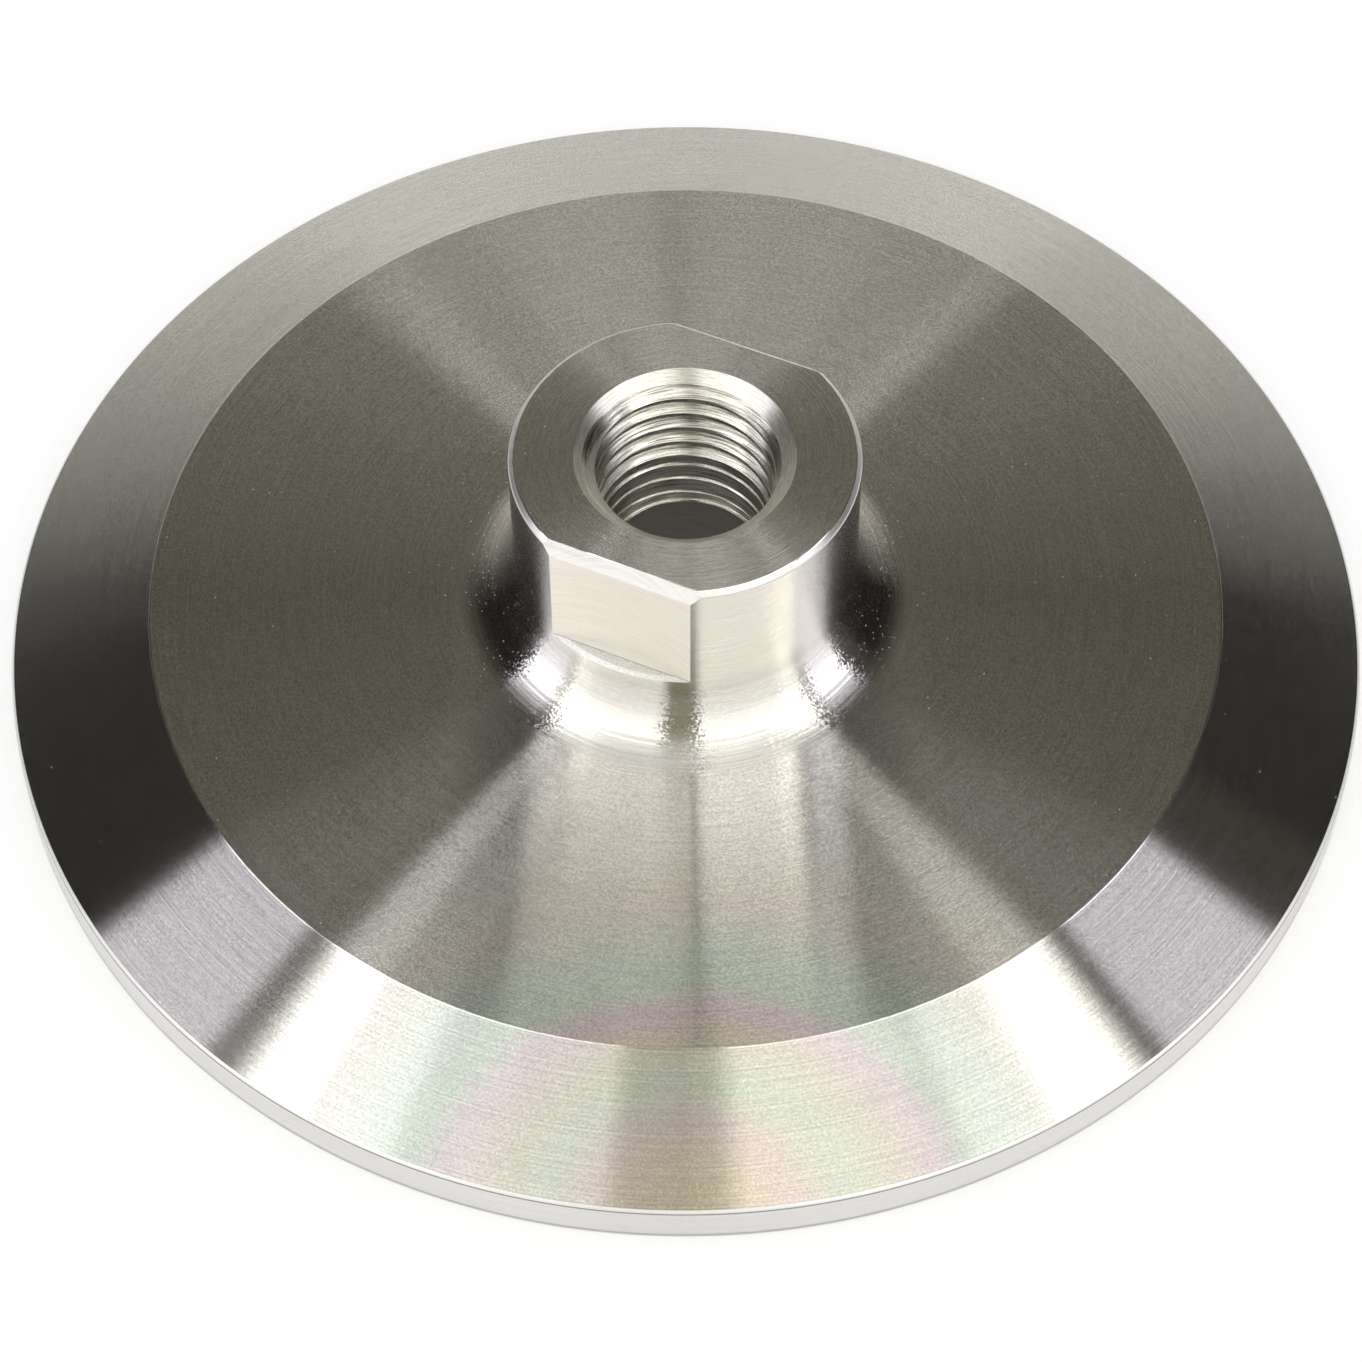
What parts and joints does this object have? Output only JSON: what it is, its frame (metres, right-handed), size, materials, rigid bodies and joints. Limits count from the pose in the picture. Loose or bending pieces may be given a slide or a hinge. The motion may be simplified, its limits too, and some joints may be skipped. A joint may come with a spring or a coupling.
{
  "type": "sanitary clamp threaded adapter",
  "caption": "Round bevelled clamp flange with a gasket groove and a short central hub that carries a countersunk pipe-threaded port and wrench flats.",
  "frame": {"origin": "centre of the flat sealing face that the part stands on", "axes": "+Z along the port's axis, from the sealing face up to the hub's open end; +Y and -Y out of the two wrench flats"},
  "size_m": [0.091, 0.091, 0.0205],
  "materials": {
    "turned_stainless": "turned bright, with fine concentric tool marks, and milled flats"
  },
  "bodies": {
    "root": {"adapter_body": "turned_stainless"}
  },
  "joints": []
}
